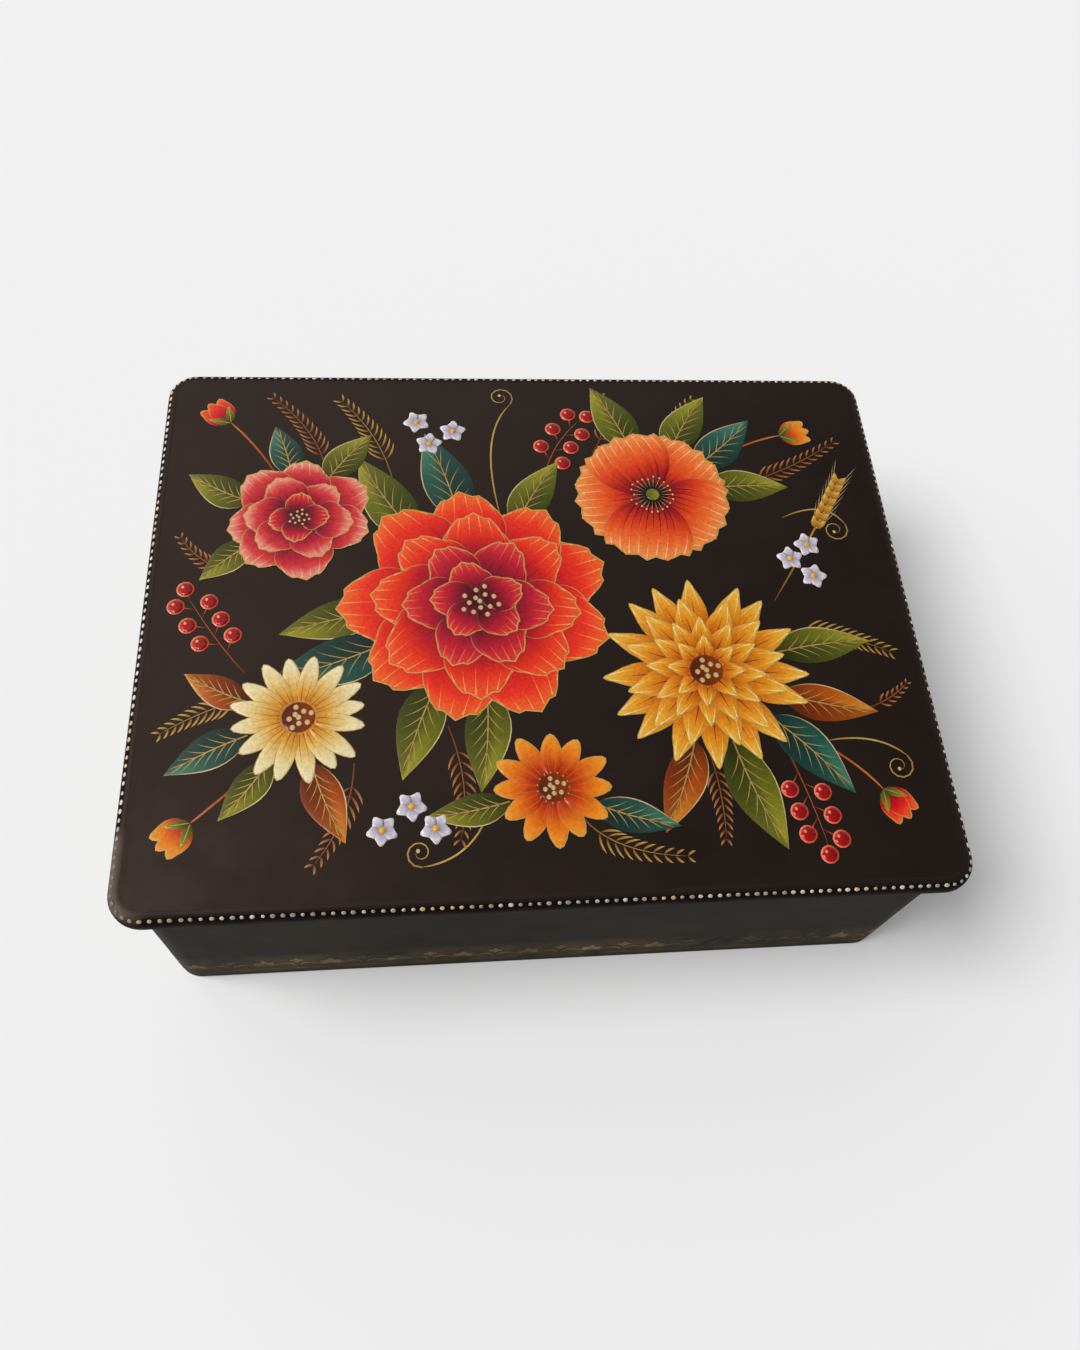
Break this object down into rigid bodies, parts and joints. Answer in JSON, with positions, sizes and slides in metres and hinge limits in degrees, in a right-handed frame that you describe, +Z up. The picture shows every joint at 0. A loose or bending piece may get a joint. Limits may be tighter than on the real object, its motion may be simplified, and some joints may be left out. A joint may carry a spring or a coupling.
{
  "type": "lacquer box",
  "caption": "Rectangular papier-mache lacquer box with a crowned, overhanging lid on let-in brass butt hinges, gold-dotted at the lid's edge.",
  "frame": {"origin": "on the table, under the middle of the box", "axes": "+X to the right along the front, +Y from the front to the hinged back, +Z up"},
  "size_m": [0.18, 0.14, 0.0615],
  "materials": {
    "lacquered_walls": "papier-mache under gloss black lacquer, red inside",
    "lacquered_base": "papier-mache under gloss black lacquer, red inside",
    "lacquered_lid": "papier-mache under gloss black lacquer, tempera painting on top",
    "lacquered_rim": "papier-mache under gloss red lacquer",
    "hinge_brass": "rolled brass, aged",
    "pin_steel": "drawn wire",
    "brad_brass": "driven and filed flush"
  },
  "bodies": {
    "box": {"body_walls": "lacquered_walls", "base_plate": "lacquered_base", "hinge_left_body_leaf": "hinge_brass", "hinge_right_body_leaf": "hinge_brass", "hinge_left_pin": "pin_steel", "hinge_right_pin": "pin_steel", "body_leaf_brads": "brad_brass"},
    "lid": {"lid_plate": "lacquered_lid", "lid_rim": "lacquered_rim", "hinge_left_lid_leaf": "hinge_brass", "hinge_right_lid_leaf": "hinge_brass", "lid_leaf_brads": "brad_brass"}
  },
  "joints": [
    {"name": "lid_hinge", "type": "hinge", "parent": "box", "child": "lid", "pos_m": [0, 0.0676, 0.056], "axis": [-1, 0, 0], "range_deg": [0, 106]}
  ]
}
